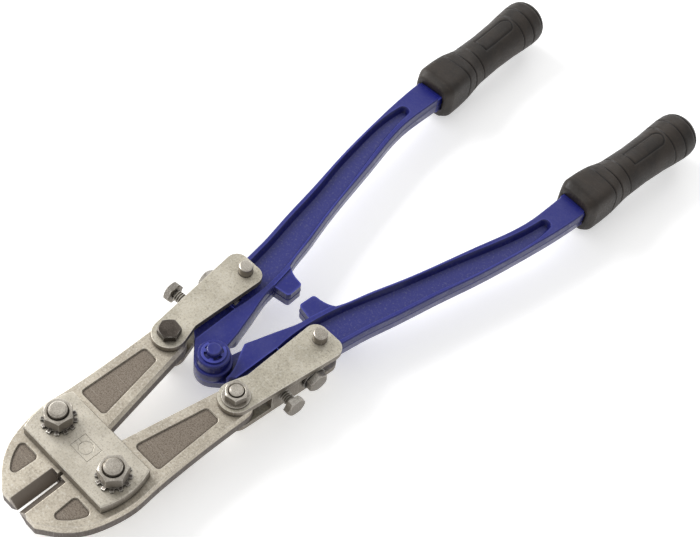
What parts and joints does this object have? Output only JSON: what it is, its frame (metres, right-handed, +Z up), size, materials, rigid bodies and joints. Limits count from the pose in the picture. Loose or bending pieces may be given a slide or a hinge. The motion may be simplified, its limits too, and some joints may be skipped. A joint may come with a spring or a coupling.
{
  "type": "hand tool, compound-lever bolt cutter",
  "caption": "Compound-lever bolt cutter with bolted centre-cut jaws, forged blue channel handles and black rubber grips.",
  "frame": {"origin": "bottom centre of the whole tool's bounding box, where it lies flat with its handles as pictured", "axes": "+Y from the blades to the grips, +X across the tool, +Z up, away from the surface it lies on"},
  "size_m": [0.1522, 0.4506, 0.0419],
  "materials": {
    "jaw_steel": "forged and ground alloy steel, satin, warm grey; ground bevels darker and brownish",
    "plate_steel": "satin nickel-grey plated steel plate with soft blanked edges",
    "fastener_steel": "zinc plated, slightly brighter on the chamfers, dark in the threads",
    "washer_steel": "plated spring steel, duller than the nuts",
    "handle_paint": "semi-gloss violet-blue enamel over a forging, worn thin along the raised rims",
    "grip_rubber": "matt charcoal moulded rubber with a faint warm tint"
  },
  "bodies": {
    "head": {"upper_head_plate": "plate_steel", "lower_head_plate": "plate_steel", "left_head_bolt": "fastener_steel", "left_head_nut": "fastener_steel", "left_toothed_washer": "washer_steel", "right_head_bolt": "fastener_steel", "right_head_nut": "fastener_steel", "right_toothed_washer": "washer_steel"},
    "left_jaw": {"left_jaw": "jaw_steel"},
    "right_jaw": {"right_jaw": "jaw_steel"},
    "left_handle": {"left_fork_arm": "plate_steel", "left_tail_bolt": "fastener_steel", "left_tail_nut": "fastener_steel", "left_tail_washer": "washer_steel", "left_arm_pin": "fastener_steel", "left_clamp_bolt": "fastener_steel", "left_clamp_washer": "washer_steel", "left_handle": "handle_paint", "left_grip": "grip_rubber", "centre_pin": "handle_paint", "centre_clip": "handle_paint"},
    "left_adjusting_screw": {"left_adjusting_screw": "fastener_steel"},
    "right_handle": {"right_fork_arm": "plate_steel", "right_tail_bolt": "fastener_steel", "right_tail_nut": "fastener_steel", "right_tail_washer": "washer_steel", "right_arm_pin": "fastener_steel", "right_clamp_bolt": "fastener_steel", "right_clamp_washer": "washer_steel", "right_handle": "handle_paint", "right_grip": "grip_rubber"},
    "right_adjusting_screw": {"right_adjusting_screw": "fastener_steel"}
  },
  "joints": [
    {"name": "left_jaw_pivot", "type": "hinge", "parent": "head", "child": "left_jaw", "pos_m": [-0.0208, -0.18355, 0.0184], "axis": [0, 0, 1], "range_deg": [-6.5, 1]},
    {"name": "right_jaw_pivot", "type": "hinge", "parent": "head", "child": "right_jaw", "pos_m": [0.0208, -0.18355, 0.0184], "axis": [0, 0, 1], "range_deg": [-1, 6.5]},
    {"name": "left_handle_pivot", "type": "hinge", "parent": "left_jaw", "child": "left_handle", "pos_m": [-0.0256, -0.10855, 0.0184], "axis": [0, 0, 1], "range_deg": [-4, 40]},
    {"name": "right_handle_pivot", "type": "hinge", "parent": "right_jaw", "child": "right_handle", "pos_m": [0.0256, -0.10855, 0.0184], "axis": [0, 0, 1], "range_deg": [-40, 4]},
    {"name": "left_adjusting_screw_turn", "type": "hinge", "parent": "left_handle", "child": "left_adjusting_screw", "pos_m": [-0.03703, -0.08505, 0.0184], "axis": [-0.9964, -0.0848, 0], "range_deg": [-180, 180]},
    {"name": "right_adjusting_screw_turn", "type": "hinge", "parent": "right_handle", "child": "right_adjusting_screw", "pos_m": [0.03703, -0.08505, 0.0184], "axis": [0.9964, -0.0848, 0], "range_deg": [-180, 180]}
  ],
  "couplings": [
    {"joint": "left_jaw_pivot", "follows": "left_handle_pivot", "ratio": -0.1531},
    {"joint": "right_jaw_pivot", "follows": "left_handle_pivot", "ratio": 0.1531},
    {"joint": "right_handle_pivot", "follows": "left_handle_pivot", "ratio": -1}
  ]
}
